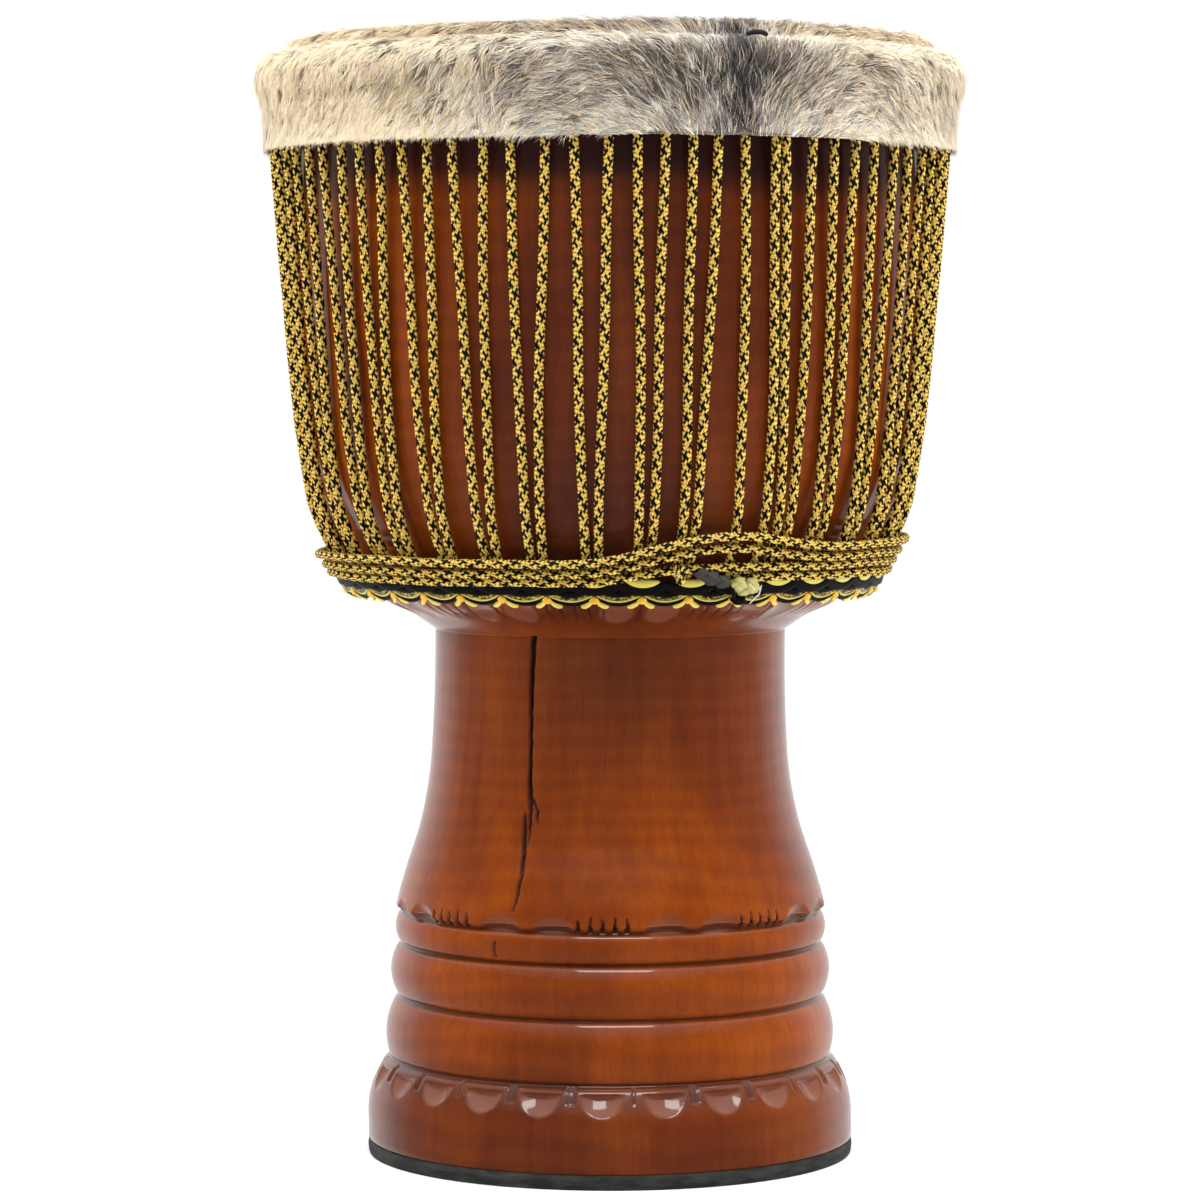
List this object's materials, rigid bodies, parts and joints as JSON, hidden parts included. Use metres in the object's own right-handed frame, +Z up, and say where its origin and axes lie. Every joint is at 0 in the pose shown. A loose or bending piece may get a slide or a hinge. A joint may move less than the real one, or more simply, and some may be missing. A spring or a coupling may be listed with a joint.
{
  "type": "djembe",
  "caption": "Rope-tuned goblet hand drum: carved wooden shell, goat skin with furry collar, steel rings, laced rope and rubber foot ring.",
  "frame": {"origin": "on the drum's axis, on the floor under the rubber ring", "axes": "+Z up along the drum's axis to the head; -Y is the drum's front"},
  "size_m": [0.386, 0.386, 0.6093],
  "materials": {
    "shell": "glossy varnished reddish-brown hardwood",
    "foot_rubber": "matt black rubber",
    "goatskin": "natural goat hide with the hair on below the rim",
    "flesh_ring": "black painted steel rod",
    "crown_ring": "black painted steel rod",
    "bottom_ring": "black painted steel rod",
    "crown_loops": "braided yellow and black polyester cord",
    "bottom_loops": "braided yellow and black polyester cord",
    "upper_swags": "flat two-tone cord, yellow-green above and black below",
    "lower_swags": "flat two-tone cord, yellow-green above and black below",
    "lacing_rope": "braided golden yellow rope flecked with black",
    "rope_wraps": "braided golden yellow rope flecked with black",
    "rope_end": "taped grey at one side and melted pale yellow-green at the other",
    "stitch_thread": "black thread"
  },
  "bodies": {
    "root": {"shell": "shell", "foot_rubber": "foot_rubber", "goatskin": "goatskin", "flesh_ring": "flesh_ring", "crown_ring": "crown_ring", "bottom_ring": "bottom_ring", "crown_loops": "crown_loops", "bottom_loops": "bottom_loops", "upper_swags": "upper_swags", "lower_swags": "lower_swags", "lacing_rope": "lacing_rope", "rope_wraps": "rope_wraps", "rope_end": "rope_end", "stitch_thread": "stitch_thread"}
  },
  "joints": []
}
